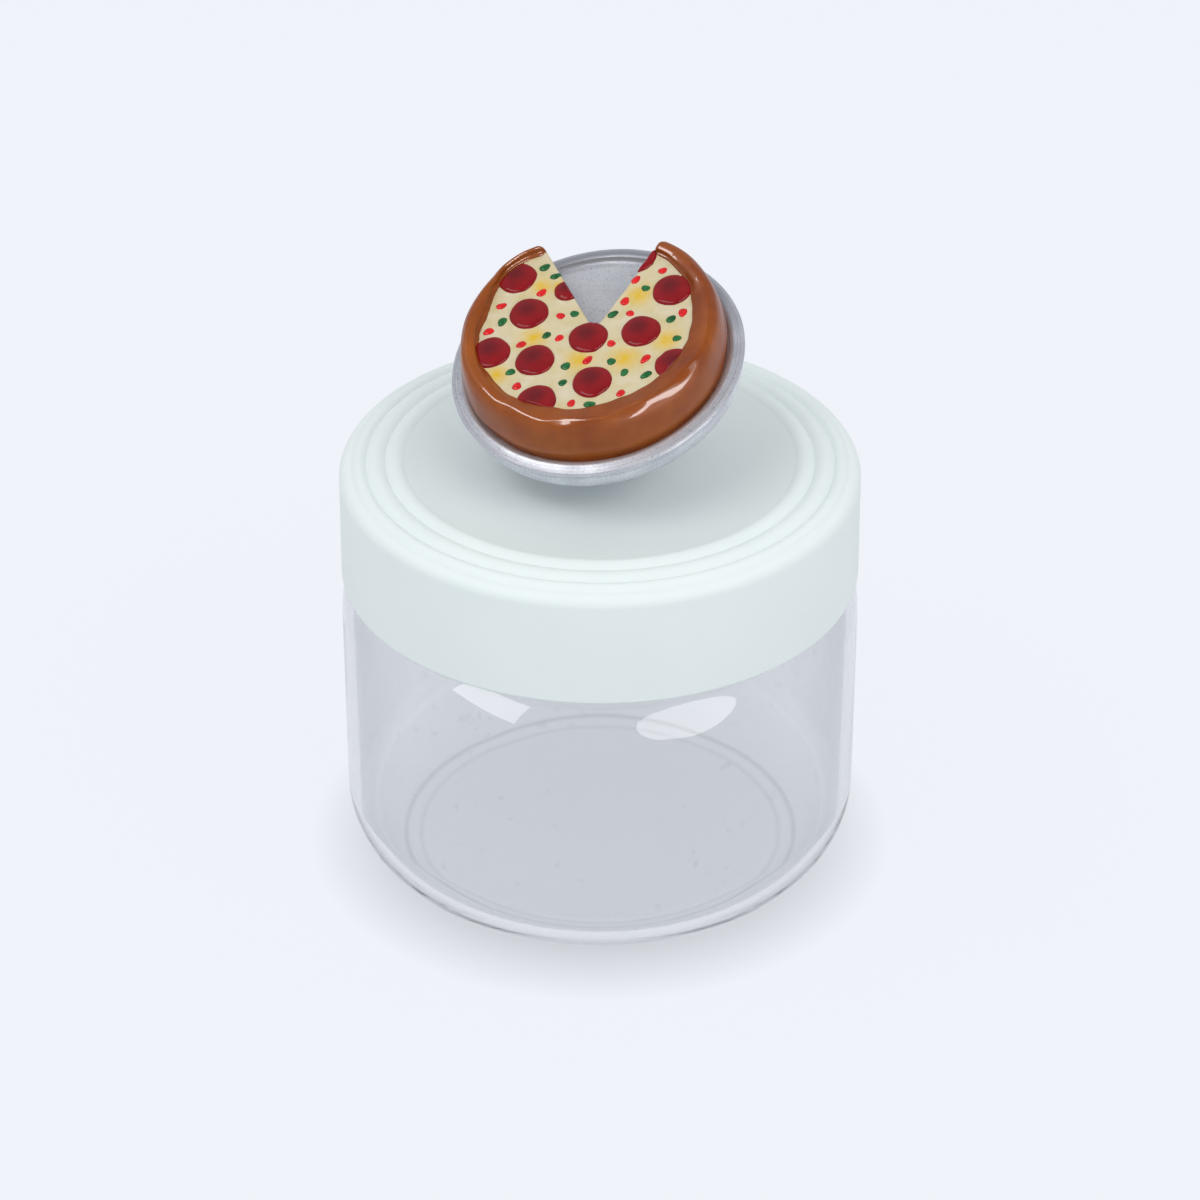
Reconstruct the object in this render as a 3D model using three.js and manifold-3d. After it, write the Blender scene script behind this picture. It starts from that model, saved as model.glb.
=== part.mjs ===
// A small glass food canister with a push-on lid.
// The lid is lifted by a figure of a pizza in its pan, set at a slant on a short post.
// Millimetres, +Z up. The origin is the centre of the foot, and the front faces -Y.
import * as THREE from "three";
import { mergeVertices } from "three/addons/utils/BufferGeometryUtils.js";
import Module from "manifold-3d";

const wasm = await Module();
wasm.setup();

// Fits and facets
const seat = 0.3; // gap between pieces that rest on or sit in each other
const toppingSeat = 0.1; // gap under the toppings
const wideSides = 48; // flats round the jar, the lid and the seal
const knobSides = 36; // flats round the pan and the post
const slimSides = 16; // flats round the fastening and the toppings
const arcSteps = 5; // straight steps in a rounded corner
const smallSteps = 3; // straight steps in a small rounding
const rimSteps = 6; // straight steps over a rolled rim

// Jar
const jarRadius = 50.1; // outside, below the shoulder
const jarHeight = 81.4; // foot to rim
const wallDraft = 0.3; // how much narrower the wall is at the lower corner
const glassWall = 2.2;
const glassFloor = 2.6;
const cornerRadius = 15.2; // lower corner, outside
const innerCornerWidth = 9.2; // lower corner, inside
const innerCornerHeight = 12;
const footWidth = 5; // flat ring that the jar stands on
const kickUp = 0.8; // hollow under the base
const shoulderStep = 4.6; // how far the neck is drawn in
const shoulderHeight = 12;
const neckHeight = 15.9;
const rimBead = 1; // how far the rim stands out from the neck
const rimFlare = 4.8; // height of the flare from the neck to the rim

// Lid shell
const lidTop = 2.6; // thickness of the top
const skirtWall = 2.4;
const skirtLap = 3.2; // how far the skirt's edge comes down over the shoulder
const skirtEdge = 1.1; // thickness of the skirt at its lower edge
const skirtTaper = 3; // height over which the skirt thins to its edge
const skirtRound = 0.9; // rounding of the skirt's lower edge
const edgeRound = 2.3; // rounding between the skirt and the top
const crown = 1; // how far the top rises from its edge to its flat middle
const beadWidths = [2.8, 3.8, 3.8]; // raised rings on the top, from the outer one inwards
const beadHeight = 0.7;
const snapDepth = 0.6; // ring inside the skirt that holds the plug up
const snapHeight = 1.2;
const rimPlay = 0.5; // room between the glass rim and the snap ring

// Lid plug and its gasket
const plugFlange = 2; // disc that lies on the glass rim
const plugPlay = 1.7; // room between the plug and the inside of the neck
const grooveDrop = 3; // from the flange down to the gasket's groove
const grooveDepth = 1.2;
const grooveLip = 2.2; // wall of the plug below the groove
const plugWall = 1.3; // behind the groove
const finCount = 3;
const finPitch = 2.2;
const finThickness = 0.9;
const gasketBand = 1.2;

// Fastening of the knob
const shankRadius = 1.95;
const headRadius = 3.8;
const headHeight = 2.2;
const headBevel = 0.7;
const socketRadius = 1.4; // six-sided socket in the head
const socketDepth = 1.3;
const tipBevel = 0.65;
const washerRadius = 5;
const washerThickness = 0.8;
const insertWall = 0.9; // brass insert in the foot of the post
const insertLength = 8;
const knurlBand = 2.6; // height of each of the insert's two bands
const knurlDepth = 0.3;
const tipRoom = 1.5; // free depth past the screw's tip
const wellPlay = 1.8; // room round the washer in the plug's middle
const wellWall = 1.6;

// Post
const postHeight = 19.5; // from the lid up to the middle of the pan
const waistHeight = 6.4; // narrowest level, above the lid
const postFoot = 5.6;
const postWaist = 4.4;
const postHead = 8.4;

// Pan
const panTilt = 21.9; // degrees from level
const panFacing = 30.7; // degrees from the front, towards the left
const panRadius = 28.3;
const panDepth = 6.4; // underside to the top of the rim
const rimWidth = 3; // flattened roll of the rim
const rimRoll = 0.9; // from the top of the rim down to its widest level
const rimDrop = 0.3; // how far the rim curls down over the side
const sideInset = 0.5; // how far the side lies inside the rim
const sideCurve = 2.2; // rounding from the side to the underside
const panFloorDrop = 1.2; // from the rim down to the floor of the pan

// Pizza
const crustBulge = 0.7; // how far the crust swells out over its foot
const bulgeHeight = 2.8; // widest level of the crust, above the rim
const crustHeight = 9.6; // crest of the crust, above the rim
const crustWidth = 5; // mean width of the crust
const crestShare = 0.6; // place of the crest across that width, from the cheese outwards
const crustWave = 0.3; // hand-shaped waves in the crest
const crustWaves = 11;
const crustSteps = 46;
const crustEnd = 1.8; // rounding at the ends, beside the missing slice
const crustEndTaper = 0.45;
const crustEndSteps = 3;
const cheeseHeight = 7.7; // above the rim
const cheeseShiftX = -0.6; // the cheese lies a little off the pan's middle
const cheeseShiftY = 1.7;
const sliceTipX = 0.9; // point of the missing slice
const sliceTipY = 0;
const sliceRight = 55.5; // degrees, right-hand cut
const sliceLeft = 111; // degrees, left-hand cut

// Pepperoni
const pepperoniRadius = 3.85;
const pepperoniEdge = 0.4; // upright part of the edge
const pepperoniRise = 0.6; // domed part
const pepperoniRound = 0.8; // rounding of the edge, across
const pepperoniTurn = 0.36; // rounding of the edge, upwards
const halfSliceRadius = 2.6; // the small slice beside the left-hand cut
const centreLap = 1.6; // how far the middle slice laps over the point of the cut

// Places of the pepperoni slices: share of the cheese's radius from its middle, degrees from +X, radius
const pepperoniSpots = [
  [0.93, 131.7, pepperoniRadius],
  [0.47, 109.2, halfSliceRadius],
  [0.57, 155.6, pepperoniRadius],
  [0.9, 191, pepperoniRadius],
  [0.59, 215.9, pepperoniRadius],
  [0.96, 240.3, pepperoniRadius],
  [0.17, 277, pepperoniRadius],
  [0.71, 273.2, pepperoniRadius],
  [0.54, 339.5, pepperoniRadius],
  [0.85, 17.2, pepperoniRadius],
  [0.88, 55.1, pepperoniRadius],
  [1.03, 320.9, pepperoniRadius],
];

// Radii that follow from the sizes above
const neckRadius = jarRadius - shoulderStep;
const neckInside = neckRadius - glassWall;
const snapRadius = neckRadius + rimBead + rimPlay;
const skirtInside = snapRadius + snapDepth;
const lidRadius = skirtInside + skirtWall;
const plugRadius = neckInside - plugPlay;
const grooveRadius = plugRadius - grooveDepth;
const plugInside = grooveRadius - plugWall;
const insertBore = shankRadius + seat;
const insertRadius = insertBore + insertWall;
const wellRadius = washerRadius + wellPlay;

// Levels that follow from the sizes above
const shoulderTop = jarHeight - neckHeight;
const shoulderFoot = shoulderTop - shoulderHeight;
const skirtFoot = shoulderTop - skirtLap;
const flangeUnder = jarHeight + seat;
const flangeTop = flangeUnder + plugFlange;
const lidUnder = flangeTop + seat;
const lidLevel = lidUnder + lidTop;
const edgeLevel = lidLevel - crown;
const gasketHeight = finCount * finPitch;
const grooveTop = flangeUnder - grooveDrop;
const grooveFoot = grooveTop - gasketHeight - 2 * seat;
const plugFoot = grooveFoot - grooveLip;
const washerFoot = lidUnder - seat - washerThickness;
const headTop = washerFoot - seat;
const headFoot = headTop - headHeight;
const wellFloor = headFoot - seat;
const postStart = lidLevel + seat;
const screwTip = postStart + insertLength;

const at = (radius, level) => new THREE.Vector2(radius, level);
const radians = THREE.MathUtils.degToRad;

// Points along part of an ellipse, between two angles in degrees
function arc(middle, halfWidth, halfHeight, from, to, steps = arcSteps) {
  const points = [];
  for (let step = 0; step <= steps; step += 1) {
    const angle = radians(from + ((to - from) * step) / steps);
    points.push(at(middle.x + halfWidth * Math.cos(angle), middle.y + halfHeight * Math.sin(angle)));
  }
  return points;
}

// A solid turned about +Z; with the radius drawn to the right, its profile runs counterclockwise
function turned(profile, sides) {
  return new THREE.LatheGeometry(profile, sides).rotateX(Math.PI / 2);
}

// A ring turned from a closed profile
function turnedRing(profile, sides) {
  return turned([...profile, profile[0].clone()], sides);
}

// An upright prism over an outline
function prism(shape, foot, height, curveSegments) {
  const options = { depth: height, bevelEnabled: false, curveSegments };
  return new THREE.ExtrudeGeometry(shape, options).translate(0, 0, foot);
}

// A closed skin over a row of matching outlines, with a flat cap on each end
function lofted(sections) {
  const size = sections[0].length;
  const last = (sections.length - 1) * size;
  const indices = [];
  for (let row = 0; row < last; row += size) {
    for (let point = 0; point < size; point += 1) {
      const next = (point + 1) % size;
      const across = row + size;
      indices.push(row + point, across + next, row + next);
      indices.push(row + point, across + point, across + next);
    }
  }
  for (let point = 1; point + 1 < size; point += 1) {
    indices.push(0, point, point + 1);
    indices.push(last, last + point + 1, last + point);
  }
  const geometry = new THREE.BufferGeometry().setFromPoints(sections.flat());
  geometry.setIndex(indices);
  geometry.computeVertexNormals();
  return geometry;
}

// Solids for joining and cutting
function toSolid(geometry) {
  const bare = new THREE.BufferGeometry();
  bare.setAttribute("position", geometry.getAttribute("position").clone());
  bare.setIndex(geometry.index);
  const merged = mergeVertices(bare);
  const vertProperties = new Float32Array(merged.getAttribute("position").array);
  const triVerts = new Uint32Array(merged.index.array);
  return new wasm.Manifold(new wasm.Mesh({ numProp: 3, vertProperties, triVerts }));
}

function fromSolid(solid) {
  const mesh = solid.getMesh();
  const geometry = new THREE.BufferGeometry();
  geometry.setAttribute("position", new THREE.Float32BufferAttribute(mesh.vertProperties, 3));
  geometry.setIndex(Array.from(mesh.triVerts));
  geometry.computeVertexNormals();
  return geometry;
}

function cut(geometry, ...tools) {
  const solid = tools.reduce((rest, tool) => rest.subtract(toSolid(tool)), toSolid(geometry));
  return fromSolid(solid);
}

function subPart(name, geometry, finish) {
  const mesh = new THREE.Mesh(geometry, new THREE.MeshStandardMaterial(finish));
  mesh.name = name;
  return mesh;
}

// Blown jar: kicked-up base, round lower corner, soft shoulder and a rolled rim
function glassJar() {
  const wallFoot = jarRadius - wallDraft;
  const footRadius = wallFoot - cornerRadius;
  const floorRadius = wallFoot - glassWall - innerCornerWidth;
  const rimMiddle = (neckInside + neckRadius + rimBead) / 2;
  const rimHalf = rimMiddle - neckInside;
  const profile = [
    at(0, kickUp),
    at(footRadius - 2 * footWidth, kickUp),
    at(footRadius - footWidth, 0),
    ...arc(at(footRadius, cornerRadius), cornerRadius, cornerRadius, -90, 0),
    ...arc(at(neckRadius, shoulderFoot), shoulderStep, shoulderHeight, 0, 90),
    at(neckRadius, jarHeight - rimFlare),
    ...arc(at(rimMiddle, jarHeight - rimHalf), rimHalf, rimHalf, 0, 180, rimSteps),
    ...arc(at(neckInside, shoulderFoot), shoulderStep, shoulderHeight, 90, 0),
    ...arc(at(floorRadius, glassFloor + innerCornerHeight), innerCornerWidth, innerCornerHeight, 0, -90),
    at(0, glassFloor),
  ];
  return turned(profile, wideSides);
}

// Raised rings across the crowned top of the lid, from the outer one inwards
function beadProfile() {
  const outer = lidRadius - edgeRound;
  const inner = outer - beadWidths.reduce((sum, width) => sum + width, 0);
  const points = [];
  let start = outer;
  for (const width of beadWidths) {
    for (let step = 1; step <= arcSteps; step += 1) {
      const radius = start - (width * step) / arcSteps;
      const base = lidLevel - crown * ((radius - inner) / (outer - inner)) ** 2;
      points.push(at(radius, base + beadHeight * Math.sin((Math.PI * step) / arcSteps)));
    }
    start -= width;
  }
  return points;
}

// Lid shell: a ringed top with a smooth skirt, and a snap ring inside
function lidShell() {
  const screwHole = shankRadius + seat;
  const snapTop = flangeUnder - seat;
  const roundLevel = edgeLevel - edgeRound;
  const footMiddle = at(lidRadius - skirtRound, skirtFoot + skirtRound);
  const profile = [
    at(screwHole, lidUnder),
    at(skirtInside, lidUnder),
    at(skirtInside, snapTop),
    at(snapRadius, snapTop - snapHeight / 2),
    at(skirtInside, snapTop - snapHeight),
    at(skirtInside, skirtFoot + skirtTaper),
    at(lidRadius - skirtEdge, skirtFoot),
    ...arc(footMiddle, skirtRound, skirtRound, -90, 0, smallSteps),
    ...arc(at(lidRadius - edgeRound, roundLevel), edgeRound, edgeRound, 0, 90, arcSteps),
    ...beadProfile(),
    at(screwHole, lidLevel),
  ];
  return turnedRing(profile, wideSides);
}

// Lid plug: a flange over the glass rim, a wall with the gasket's groove and a well round the screw
function lidPlug() {
  const profile = [
    at(0, wellFloor - wellWall),
    at(wellRadius + wellWall, wellFloor - wellWall),
    at(wellRadius + wellWall, flangeUnder),
    at(plugInside, flangeUnder),
    at(plugInside, plugFoot),
    at(plugRadius, plugFoot),
    at(plugRadius, grooveFoot),
    at(grooveRadius, grooveFoot),
    at(grooveRadius, grooveTop),
    at(plugRadius, grooveTop),
    at(plugRadius, flangeUnder),
    at(skirtInside - seat, flangeUnder),
    at(skirtInside - seat, flangeTop),
    at(wellRadius, flangeTop),
    at(wellRadius, wellFloor),
    at(0, wellFloor),
  ];
  return turned(profile, wideSides);
}

// Gasket: a band in the plug's groove, with thin fins that wipe the inside of the neck
function lidGasket() {
  const inside = grooveRadius + seat;
  const band = inside + gasketBand;
  const finTip = neckInside - seat;
  const foot = grooveFoot + seat;
  const profile = [at(inside, foot), at(band, foot)];
  for (let fin = 0; fin < finCount; fin += 1) {
    const level = foot + (fin + 0.5) * finPitch;
    profile.push(at(band, level - finThickness / 2));
    profile.push(at(finTip, level));
    profile.push(at(band, level + finThickness / 2));
  }
  profile.push(at(band, foot + gasketHeight), at(inside, foot + gasketHeight));
  return turnedRing(profile, wideSides);
}

// Screw from under the lid, its head down, with a six-sided socket
function knobScrew() {
  const profile = [
    at(0, headFoot),
    at(headRadius - headBevel, headFoot),
    at(headRadius, headFoot + headBevel),
    at(headRadius, headTop),
    at(shankRadius, headTop),
    at(shankRadius, screwTip - tipBevel),
    at(shankRadius - tipBevel, screwTip),
    at(0, screwTip),
  ];
  const socketCorner = socketRadius / Math.cos(Math.PI / 6);
  const socket = new THREE.CylinderGeometry(socketCorner, socketCorner, 2 * socketDepth, 6);
  socket.rotateX(Math.PI / 2).translate(0, 0, headFoot);
  return cut(turned(profile, slimSides), socket);
}

function knobWasher() {
  const inside = shankRadius + seat;
  const top = washerFoot + washerThickness;
  const profile = [at(inside, washerFoot), at(washerRadius, washerFoot), at(washerRadius, top), at(inside, top)];
  return turnedRing(profile, slimSides);
}

// Brass insert: two knurled bands with a waist between them
function knobInsert() {
  const waist = insertRadius - knurlDepth;
  const top = postStart + insertLength;
  const profile = [
    at(insertBore, postStart),
    at(insertRadius, postStart),
    at(insertRadius, postStart + knurlBand),
    at(waist, postStart + knurlBand),
    at(waist, top - knurlBand),
    at(insertRadius, top - knurlBand),
    at(insertRadius, top),
    at(insertBore, top),
  ];
  return turnedRing(profile, slimSides);
}

// Where the pan sits: its middle is over the post, and it leans to the front and left
const panPlace = new THREE.Group();
panPlace.position.set(0, 0, lidLevel + postHeight);
const leanAxis = new THREE.Vector3(Math.cos(radians(panFacing)), -Math.sin(radians(panFacing)), 0);
panPlace.quaternion.setFromAxisAngle(leanAxis, radians(panTilt));
panPlace.translateZ(-panDepth / 2);
panPlace.updateMatrixWorld();

// Post: a waisted stem whose head is cut to the slant of the pan, with a hole for the insert
function knobPost() {
  const hole = insertRadius + seat;
  const holeTop = screwTip + tipRoom;
  const headReach = postHead * Math.tan(radians(panTilt));
  const panUnder = lidLevel + postHeight - panDepth / 2 / Math.cos(radians(panTilt));
  const top = panUnder + headReach;
  const waistLevel = lidLevel + waistHeight;
  const headLevel = panUnder - headReach;
  const profile = [
    at(0, holeTop),
    at(hole, holeTop),
    at(hole, postStart),
    at(postFoot, postStart),
    ...arc(at(postFoot, waistLevel), postFoot - postWaist, waistLevel - postStart, 270, 180, smallSteps).slice(1),
    ...arc(at(postHead, waistLevel), postHead - postWaist, headLevel - waistLevel, 180, 90).slice(1),
    at(postHead, top),
    at(0, top),
  ];
  const panSide = new THREE.BoxGeometry(4 * postHead, 4 * postHead, 2 * postHeight);
  panSide.translate(0, 0, postHeight - seat).applyMatrix4(panPlace.matrixWorld);
  return cut(turned(profile, knobSides), panSide);
}

// The pan and the pizza are drawn level, from the middle of the pan's underside
const rimInside = panRadius - rimWidth;
const panFloor = panDepth - panFloorDrop;
const crustFoot = rimInside - seat;
const crustRadius = crustFoot + crustBulge;
const cheeseRadius = crustRadius - crustWidth;
const cheeseEdge = cheeseRadius - seat;
const pizzaFoot = panFloor + seat;
const cheeseTop = panDepth + cheeseHeight;
const sliceTip = at(sliceTipX, sliceTipY);

// Pan: round side, flattened rim and a shallow floor
function pizzaPan() {
  const rimHalf = rimWidth / 2;
  const rimMiddle = at(panRadius - rimHalf, panDepth - rimRoll);
  const sideRadius = panRadius - sideInset;
  const sideTop = rimMiddle.y - rimDrop;
  const profile = [
    at(0, 0),
    ...arc(at(sideRadius - sideCurve, sideTop), sideCurve, sideTop, -90, 0, arcSteps),
    ...arc(rimMiddle, rimHalf, rimRoll, 0, 180, rimSteps),
    at(rimInside, panFloor),
    at(0, panFloor),
  ];
  return turned(profile, knobSides);
}

// Distance from the pan's middle to the inner edge of the crust, which goes round the cheese
function crustInside(angle) {
  const along = cheeseShiftX * Math.cos(angle) + cheeseShiftY * Math.sin(angle);
  const shift = cheeseShiftX ** 2 + cheeseShiftY ** 2;
  return along + Math.sqrt(cheeseRadius ** 2 - shift + along ** 2);
}

// Section of the crust at one angle, shrunk towards its own middle near the ends
function crustSection(angle, scale) {
  const inside = crustInside(angle);
  const crest = inside + (crustRadius - inside) * crestShare;
  const crestLevel = panDepth + crustHeight + crustWave * Math.sin(crustWaves * angle);
  const bulge = panDepth + bulgeHeight;
  const outline = [
    at(inside, pizzaFoot),
    at(crustFoot, pizzaFoot),
    at(crustFoot, panDepth),
    ...arc(at(crest, bulge), crustRadius - crest, crestLevel - bulge, 0, 90),
    ...arc(at(crest, cheeseTop), crest - inside, crestLevel - cheeseTop, 90, 180, smallSteps).slice(1),
  ];
  const middle = (pizzaFoot + crestLevel) / 2;
  return outline.map(({ x, y }) => {
    const radius = crest + (x - crest) * scale;
    const level = middle + (y - middle) * scale;
    return new THREE.Vector3(radius * Math.cos(angle), radius * Math.sin(angle), level);
  });
}

// Angle about the pan's middle at which one cut of the missing slice meets the crust
function sliceMeetsCrust(direction) {
  const heading = at(Math.cos(radians(direction)), Math.sin(radians(direction)));
  const middle = (cheeseRadius + crustRadius) / 2;
  const along = sliceTip.dot(heading);
  const reach = Math.sqrt(middle ** 2 - sliceTip.lengthSq() + along ** 2) - along;
  return sliceTip.clone().addScaledVector(heading, reach).angle();
}

// Crust: an uneven ring round the cheese, open at the missing slice, with rounded ends
function pizzaCrust() {
  const start = sliceMeetsCrust(sliceLeft);
  const end = sliceMeetsCrust(sliceRight) + 2 * Math.PI;
  const endTurn = crustEnd / crustRadius;
  const sections = [];
  const addEnd = (edge, inwards, order) => {
    for (const step of order) {
      const angle = edge + inwards * endTurn * (1 - Math.cos((step / crustEndSteps) * (Math.PI / 2)));
      const fullness = Math.sin((step / crustEndSteps) * (Math.PI / 2));
      sections.push(crustSection(angle, 1 - crustEndTaper * (1 - fullness)));
    }
  };
  const order = [...Array(crustEndSteps).keys()];
  addEnd(start, 1, order);
  for (let step = 0; step <= crustSteps; step += 1) {
    const share = step / crustSteps;
    sections.push(crustSection(start + endTurn + (end - start - 2 * endTurn) * share, 1));
  }
  addEnd(end, -1, order.reverse());
  return lofted(sections);
}

// Prism of the missing slice, its point moved outwards along the middle of the cut
function slicePrism(lap) {
  const middle = radians((sliceLeft + sliceRight) / 2);
  const tip = at(sliceTip.x + lap * Math.cos(middle), sliceTip.y + lap * Math.sin(middle));
  const reach = 2 * panRadius;
  const shape = new THREE.Shape();
  shape.moveTo(tip.x, tip.y);
  for (const direction of [sliceRight, sliceLeft]) {
    const heading = radians(direction);
    shape.lineTo(tip.x + reach * Math.cos(heading), tip.y + reach * Math.sin(heading));
  }
  shape.closePath();
  return prism(shape, 0, 2 * (panDepth + crustHeight), 1);
}

// Round prism over the cheese, between two levels
function cheesePrism(foot, top) {
  const shape = new THREE.Shape();
  shape.absarc(cheeseShiftX, cheeseShiftY, cheeseEdge, 0, 2 * Math.PI);
  return prism(shape, foot, top - foot, wideSides);
}

function pizzaCheese() {
  return cut(cheesePrism(pizzaFoot, cheeseTop), slicePrism(0));
}

// One pepperoni slice: a low dome with a rounded edge
function pepperoniDome(radius) {
  const shoulder = at(radius - pepperoniRound, pepperoniEdge);
  const profile = [
    at(0, 0),
    at(radius, 0),
    ...arc(shoulder, pepperoniRound, pepperoniTurn, 0, 90, smallSteps),
    at(0, pepperoniEdge + pepperoniRise),
  ];
  return turned(profile, slimSides);
}

// Pepperoni slices on the cheese, trimmed where the crust or the cut slice ends them
function pepperoniSlices() {
  const field = toSolid(cheesePrism(0, cheeseTop + crustHeight));
  return pepperoniSpots.map(([share, direction, radius]) => {
    const heading = radians(direction);
    const reach = share * cheeseRadius;
    const spot = at(cheeseShiftX + reach * Math.cos(heading), cheeseShiftY + reach * Math.sin(heading));
    const slice = pepperoniDome(radius).translate(spot.x, spot.y, cheeseTop + toppingSeat);
    const overTip = spot.distanceTo(sliceTip) < radius;
    const trimmed = toSolid(slice).intersect(field).subtract(toSolid(slicePrism(overTip ? centreLap : 0)));
    return fromSolid(trimmed);
  });
}

// Finishes
const glass = { color: 0xf2f5f6, roughness: 0.03, metalness: 0, transparent: true, opacity: 0.25 };
const lidPlastic = { color: 0xdfe9e7, roughness: 0.38, metalness: 0 };
const plugPlastic = { color: 0xeef1ef, roughness: 0.45, metalness: 0 };
const silicone = { color: 0xe9ecea, roughness: 0.6, metalness: 0 };
const steel = { color: 0xb4b6b8, roughness: 0.3, metalness: 1 };
const brass = { color: 0xc9a04e, roughness: 0.35, metalness: 1 };
const silverPaint = { color: 0xb7bac0, roughness: 0.35, metalness: 0.8 };
const crustPaint = { color: 0x9c5323, roughness: 0.2, metalness: 0 };
const cheesePaint = { color: 0xefe6bd, roughness: 0.25, metalness: 0 };
const pepperoniPaint = { color: 0x7d0f16, roughness: 0.15, metalness: 0 };

// Assembly
const pizza = panPlace;
pizza.add(subPart("pizza_pan", pizzaPan(), silverPaint));
pizza.add(subPart("pizza_crust", pizzaCrust(), crustPaint));
pizza.add(subPart("pizza_cheese", pizzaCheese(), cheesePaint));
pepperoniSlices().forEach((slice, index) => {
  const number = String(index + 1).padStart(2, "0");
  pizza.add(subPart(`pepperoni_${number}`, slice, pepperoniPaint));
});

const lid = new THREE.Group();
lid.add(subPart("lid_shell", lidShell(), lidPlastic));
lid.add(subPart("lid_plug", lidPlug(), plugPlastic));
lid.add(subPart("lid_gasket", lidGasket(), silicone));
lid.add(subPart("knob_screw", knobScrew(), steel));
lid.add(subPart("knob_washer", knobWasher(), steel));
lid.add(subPart("knob_insert", knobInsert(), brass));
lid.add(subPart("knob_post", knobPost(), silverPaint));
lid.add(pizza);

const canister = new THREE.Group();
canister.add(subPart("glass_jar", glassJar(), glass));
canister.add(lid);

export default canister;
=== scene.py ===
from math import atan2, cos, degrees, exp, pi, radians, sin, sqrt, tan, tau
import bmesh
import bpy
from mathutils import Matrix, Quaternion, Vector, noise


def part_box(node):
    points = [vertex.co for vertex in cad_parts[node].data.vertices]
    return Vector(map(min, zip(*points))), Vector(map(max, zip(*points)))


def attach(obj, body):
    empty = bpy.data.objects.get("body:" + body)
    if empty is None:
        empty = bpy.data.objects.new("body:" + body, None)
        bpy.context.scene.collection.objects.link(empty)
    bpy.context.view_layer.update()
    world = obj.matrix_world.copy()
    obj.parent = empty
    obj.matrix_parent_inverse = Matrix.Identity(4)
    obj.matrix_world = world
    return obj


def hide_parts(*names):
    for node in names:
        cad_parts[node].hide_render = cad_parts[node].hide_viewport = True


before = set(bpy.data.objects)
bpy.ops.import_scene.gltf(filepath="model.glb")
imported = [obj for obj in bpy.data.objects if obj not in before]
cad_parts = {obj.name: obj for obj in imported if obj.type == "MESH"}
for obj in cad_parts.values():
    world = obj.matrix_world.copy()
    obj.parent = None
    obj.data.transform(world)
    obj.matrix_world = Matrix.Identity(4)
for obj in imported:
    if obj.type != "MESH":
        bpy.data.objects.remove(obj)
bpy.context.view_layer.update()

scene = bpy.context.scene
scene.view_settings.view_transform = "Standard"
mm = 0.001
seat = 0.3 * mm  # gap between pieces that rest on each other


# colours are written as on screen, 0 to 255
def tone(red, green, blue):
    parts = [value / 255 for value in (red, green, blue)]
    return [((part + 0.055) / 1.055) ** 2.4 if part > 0.04 else part / 12.92 for part in parts] + [1]


def addNode(tree, kind, inputs=None, **settings):
    node = tree.nodes.new("ShaderNode" + kind)
    for key, value in settings.items():
        setattr(node, key, value)
    for socket, value in (inputs or {}).items():
        if isinstance(value, bpy.types.NodeSocket):
            tree.links.new(value, node.inputs[socket])
        else:
            node.inputs[socket].default_value = value
    return node


def mixColours(tree, share, first, second):
    return addNode(tree, "Mix", {0: share, 6: first, 7: second}, data_type="RGBA").outputs[2]


def mathOf(tree, operation, first, second=0.0):
    return addNode(tree, "Math", {0: first, 1: second}, operation=operation).outputs[0]


def times(tree, first, second):
    return mathOf(tree, "MULTIPLY", first, second)


def rangeOf(tree, source, fromLow, fromHigh, low=0, high=1):
    limits = {"Value": source, "From Min": fromLow, "From Max": fromHigh}
    limits.update({"To Min": low, "To Max": high})
    return addNode(tree, "MapRange", limits).outputs["Result"]


grainSpread = (0.3, 0.7)  # most of the grain lies between these
grainPeaks = (0.45, 0.75)  # its upper part


def grain(tree, scale, detail, stretch=(1, 1, 1)):
    spot = addNode(tree, "TexCoord").outputs["Object"]
    spot = addNode(tree, "Mapping", {"Vector": spot, "Scale": stretch}).outputs["Vector"]
    return addNode(tree, "TexNoise", {"Vector": spot, "Scale": scale, "Detail": detail}).outputs["Fac"]


def painted(tree, name):
    return addNode(tree, "Attribute", attribute_name=name).outputs["Fac"]


def newFinish(name, settings):
    finish = bpy.data.materials.new(name)
    finish.use_nodes = True
    shader = finish.node_tree.nodes["Principled BSDF"]
    for socket, value in settings.items():
        shader.inputs[socket].default_value = value
    return finish, finish.node_tree, shader


def setColour(tree, shader, colour):
    tree.links.new(colour, shader.inputs["Base Color"])


def addBump(tree, shader, height, strength, distance):
    bump = addNode(tree, "Bump", {"Height": height, "Strength": strength, "Distance": distance})
    tree.links.new(bump.outputs["Normal"], shader.inputs["Normal"])


# outlines are (radius, level) pairs; angles in degrees
def arcPoints(middle, halfWidth, halfHeight, start, end, steps):
    points = []
    for step in range(steps + 1):
        angle = radians(start + (end - start) * step / steps)
        across = halfWidth * cos(angle)
        points.append((middle[0] + across, middle[1] + halfHeight * sin(angle)))
    return points


# rounds every corner of a closed outline that is not on the axis
def softened(outline, radius, steps=3):
    soft = []
    for index, corner in enumerate(outline):
        if corner[0] == 0:
            soft.append(corner)
            continue
        middle = Vector(corner)
        before = Vector(outline[index - 1]) - middle
        after = Vector(outline[(index + 1) % len(outline)]) - middle
        back = middle + before.normalized() * min(radius, before.length * 0.45)
        ahead = middle + after.normalized() * min(radius, after.length * 0.45)
        for step in range(steps + 1):
            share = step / steps
            bend = back.lerp(middle, share).lerp(middle.lerp(ahead, share), share)
            soft.append((bend.x, bend.y))
    return soft


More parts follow.
